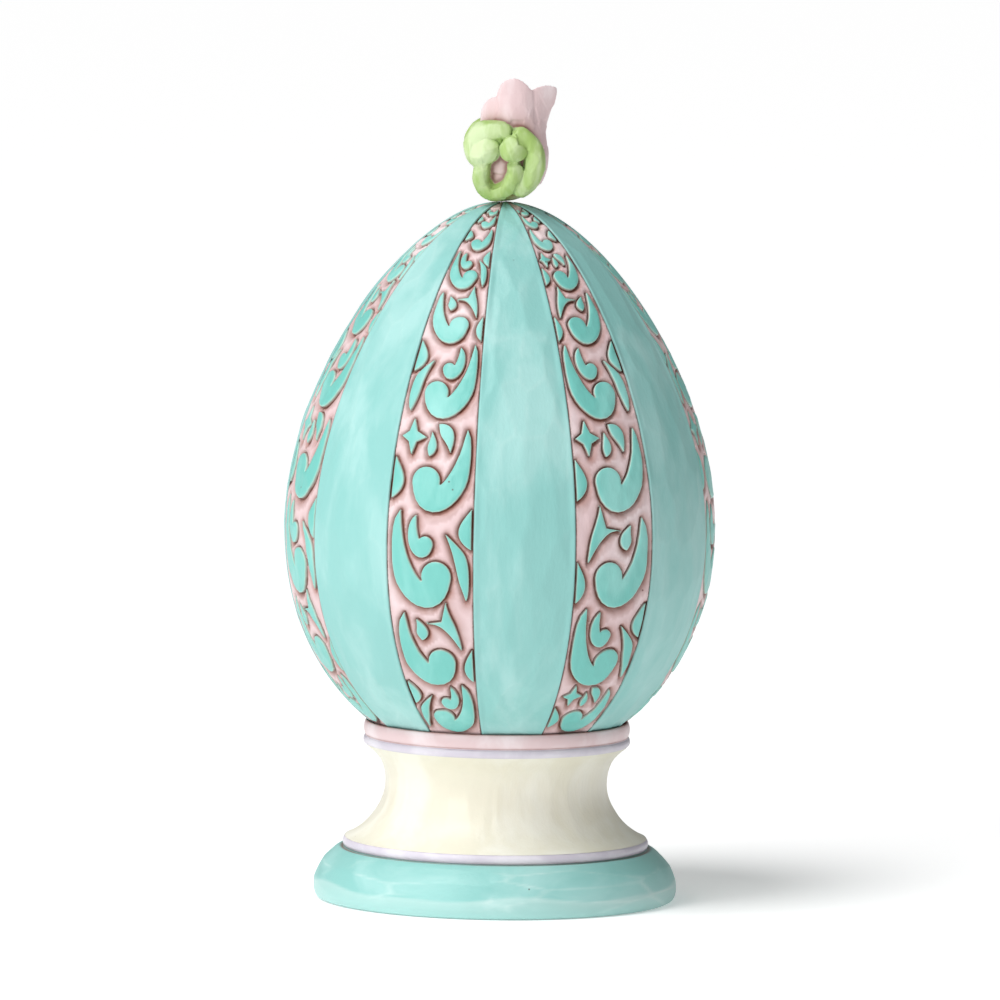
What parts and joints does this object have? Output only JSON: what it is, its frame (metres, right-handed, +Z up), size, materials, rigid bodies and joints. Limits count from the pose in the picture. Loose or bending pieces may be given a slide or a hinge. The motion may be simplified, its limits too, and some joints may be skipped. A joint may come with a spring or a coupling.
{
  "type": "easter egg figurine",
  "caption": "Decorative carved egg on a turned pedestal, with scroll-leaf bands and a tulip finial on top.",
  "frame": {"origin": "centre of the flat underside of the stand's foot", "axes": "+Z up along the egg's axis, -Y towards the front, +X to the viewer's right"},
  "size_m": [0.1084, 0.1085, 0.2068],
  "materials": {
    "stand": "satin hand-painted resin, cream waist, teal foot, pink and lavender lips",
    "egg": "satin hand-painted resin, teal panels and leaves on carved pink bands with a brown wash",
    "tulip_finial": "satin hand-painted resin, pink tulip with leaf-green curls"
  },
  "bodies": {
    "root": {"stand": "stand", "egg": "egg", "tulip_finial": "tulip_finial"}
  },
  "joints": []
}
